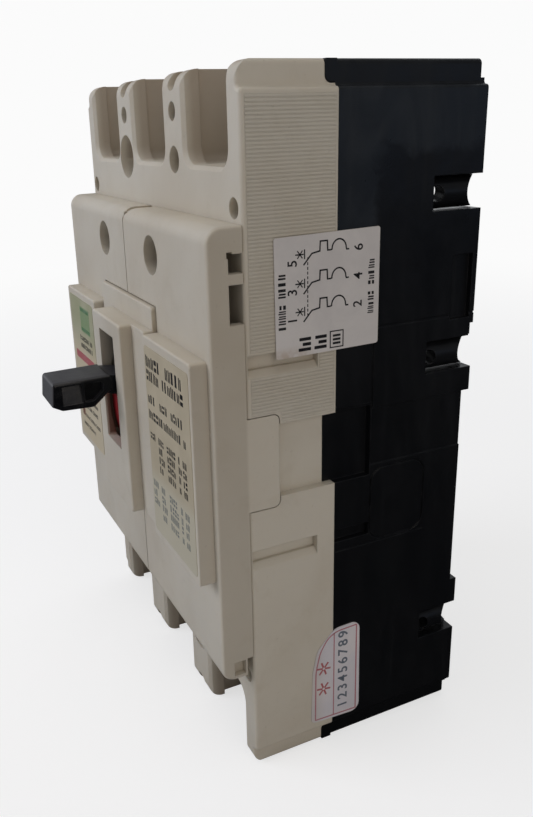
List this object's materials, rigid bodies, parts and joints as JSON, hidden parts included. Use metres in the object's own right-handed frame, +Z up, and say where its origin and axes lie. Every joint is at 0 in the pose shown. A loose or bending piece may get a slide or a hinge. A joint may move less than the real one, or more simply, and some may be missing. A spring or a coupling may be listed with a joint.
{
  "type": "moulded case circuit breaker",
  "caption": "Toggle-operated moulded case circuit breaker with a black base, ivory cover, split auxiliary cover, open terminal pockets at both ends and a working trip mechanism.",
  "frame": {"origin": "centre of the rear mounting plane", "axes": "+X to the right seen from the front, +Y from the front of the breaker through its rear mounting face, +Z up towards the line terminals"},
  "size_m": [0.1054, 0.0917, 0.165],
  "materials": {
    "black_moulding": "semi-gloss thermoset moulding",
    "ivory_moulding": "satin thermoset moulding",
    "handle_black": "satin black",
    "flag_red": "satin red",
    "button_red": "gloss red",
    "label_white": "printed film",
    "label_cream": "printed film",
    "zinc_steel": "zinc plated",
    "mechanism_steel": "bare steel",
    "spring_steel": "drawn wire",
    "plated_copper": "tin plated copper",
    "bare_copper": "bare copper",
    "contact_silver": "silver alloy",
    "bimetal_strip": "rolled bimetal",
    "red_fibre": "vulcanised fibre",
    "crossbar_moulding": "brown thermoset"
  },
  "bodies": {
    "housing": {"base": "black_moulding", "cover": "ivory_moulding", "aux_cover_left": "ivory_moulding", "aux_cover_right": "ivory_moulding", "rating_label": "label_cream", "info_label": "label_cream", "wiring_label": "label_white", "inspection_label": "label_white", "cover_screws": "zinc_steel", "aux_cover_screws": "zinc_steel", "line_terminals": "plated_copper", "load_terminals": "plated_copper", "line_terminal_nuts": "zinc_steel", "load_terminal_nuts": "zinc_steel", "fixed_contact_tips": "contact_silver", "heater_strips": "bare_copper", "bimetals": "bimetal_strip", "magnet_yokes": "mechanism_steel", "calibration_screws": "plated_copper", "arc_plates": "mechanism_steel", "arc_side_boards": "red_fibre", "arc_vent_grids": "red_fibre", "mechanism_side_plates": "zinc_steel", "frame_spacers": "zinc_steel", "cradle_pivot_pins": "mechanism_steel", "latch_pivot_pin": "mechanism_steel", "yoke_pivot_pins": "mechanism_steel", "flexible_braids": "bare_copper", "armature_hinge_posts": "crossbar_moulding", "armature_return_leaves": "spring_steel", "latch_spring": "spring_steel", "trip_bar_spring": "spring_steel", "trip_button_spring": "spring_steel"},
    "handle": {"handle": "handle_black", "position_flag": "flag_red", "handle_yoke": "zinc_steel", "main_springs": "spring_steel"},
    "crossbar": {"crossbar": "crossbar_moulding", "moving_arms": "bare_copper", "moving_contact_tips": "contact_silver", "contact_springs": "spring_steel", "arm_pins": "mechanism_steel", "lower_link_pin": "mechanism_steel"},
    "lower_links": {"lower_links": "mechanism_steel", "toggle_pin": "mechanism_steel"},
    "upper_links": {"upper_links": "mechanism_steel"},
    "cradle": {"cradle": "mechanism_steel"},
    "latch": {"latch": "mechanism_steel"},
    "trip_bar": {"trip_bar": "crossbar_moulding"},
    "armature_left": {"armature_left": "mechanism_steel"},
    "armature_centre": {"armature_centre": "mechanism_steel"},
    "armature_right": {"armature_right": "mechanism_steel"},
    "trip_button": {"trip_button": "button_red"}
  },
  "joints": [
    {"name": "handle_swing", "type": "hinge", "parent": "housing", "child": "handle", "pos_m": [0, -0.032, 0], "axis": [-1, 0, 0], "range_deg": [-18, 10], "deforming": ["main_springs"]},
    {"name": "crossbar_swing", "type": "hinge", "parent": "housing", "child": "crossbar", "pos_m": [0, -0.016, 0.008], "axis": [-1, 0, 0], "range_deg": [0, 28], "deforming": ["flexible_braids"]},
    {"name": "lower_link_turn", "type": "hinge", "parent": "crossbar", "child": "lower_links", "pos_m": [0, -0.02693, 0.01578], "axis": [-1, 0, 0], "range_deg": [-40, 0]},
    {"name": "upper_link_turn", "type": "hinge", "parent": "lower_links", "child": "upper_links", "pos_m": [0, -0.03824, 0.01371], "axis": [-1, 0, 0], "range_deg": [-40, 0]},
    {"name": "cradle_turn", "type": "hinge", "parent": "housing", "child": "cradle", "pos_m": [0, -0.036, 0.034], "axis": [-1, 0, 0], "range_deg": [-12, 0]},
    {"name": "trip_button_push", "type": "slide", "parent": "housing", "child": "trip_button", "axis": [0, 1, 0], "range_m": [0, 0.0025], "deforming": ["trip_button_spring"]},
    {"name": "trip_bar_turn", "type": "hinge", "parent": "housing", "child": "trip_bar", "pos_m": [0, -0.048, -0.041], "axis": [-1, 0, 0], "range_deg": [0, 8.2]},
    {"name": "latch_turn", "type": "hinge", "parent": "housing", "child": "latch", "pos_m": [0, -0.036, -0.029], "axis": [1, 0, 0], "range_deg": [0, 8.2]},
    {"name": "armature_left_turn", "type": "hinge", "parent": "housing", "child": "armature_left", "pos_m": [-0.035, -0.02, -0.0406], "axis": [1, 0, 0], "range_deg": [0, 7]},
    {"name": "armature_centre_turn", "type": "hinge", "parent": "housing", "child": "armature_centre", "pos_m": [0, -0.02, -0.0406], "axis": [1, 0, 0], "range_deg": [0, 7]},
    {"name": "armature_right_turn", "type": "hinge", "parent": "housing", "child": "armature_right", "pos_m": [0.035, -0.02, -0.0406], "axis": [1, 0, 0], "range_deg": [0, 7]}
  ],
  "couplings": [
    {"joint": "lower_link_turn", "follows": "crossbar_swing", "ratio": -1.1952},
    {"joint": "upper_link_turn", "follows": "crossbar_swing", "ratio": -0.9128},
    {"joint": "trip_bar_turn", "follows": "trip_button_push", "rad_per_m": 55.85},
    {"joint": "latch_turn", "follows": "trip_button_push", "rad_per_m": 55.85}
  ]
}
